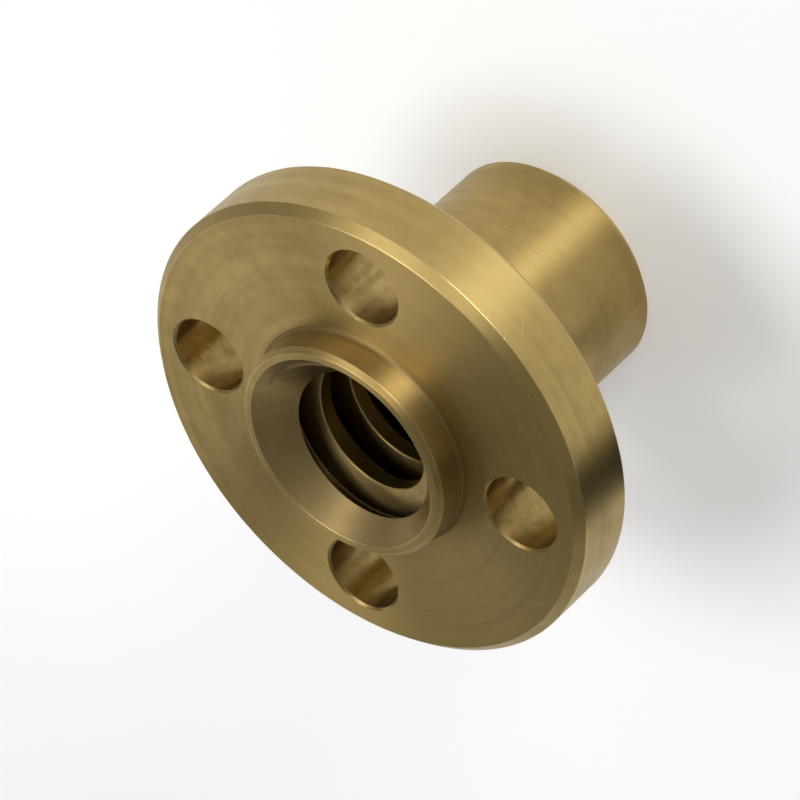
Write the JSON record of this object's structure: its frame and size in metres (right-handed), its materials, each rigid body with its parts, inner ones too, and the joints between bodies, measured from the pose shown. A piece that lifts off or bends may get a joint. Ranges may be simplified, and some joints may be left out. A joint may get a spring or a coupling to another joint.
{
  "type": "lead screw nut",
  "caption": "Round flanged nut with a threaded barrel, a short boss and bolt holes, for a trapezoidal lead screw.",
  "frame": {"origin": "centre of the bore, level with the flange's seating face on the barrel side", "axes": "+Z along the bore, from the barrel towards the boss; two mounting holes lie on X and two on Y"},
  "size_m": [0.022, 0.022, 0.015],
  "materials": {
    "brass": "satin, as turned"
  },
  "bodies": {
    "root": {"flanged_nut": "brass"}
  },
  "joints": []
}
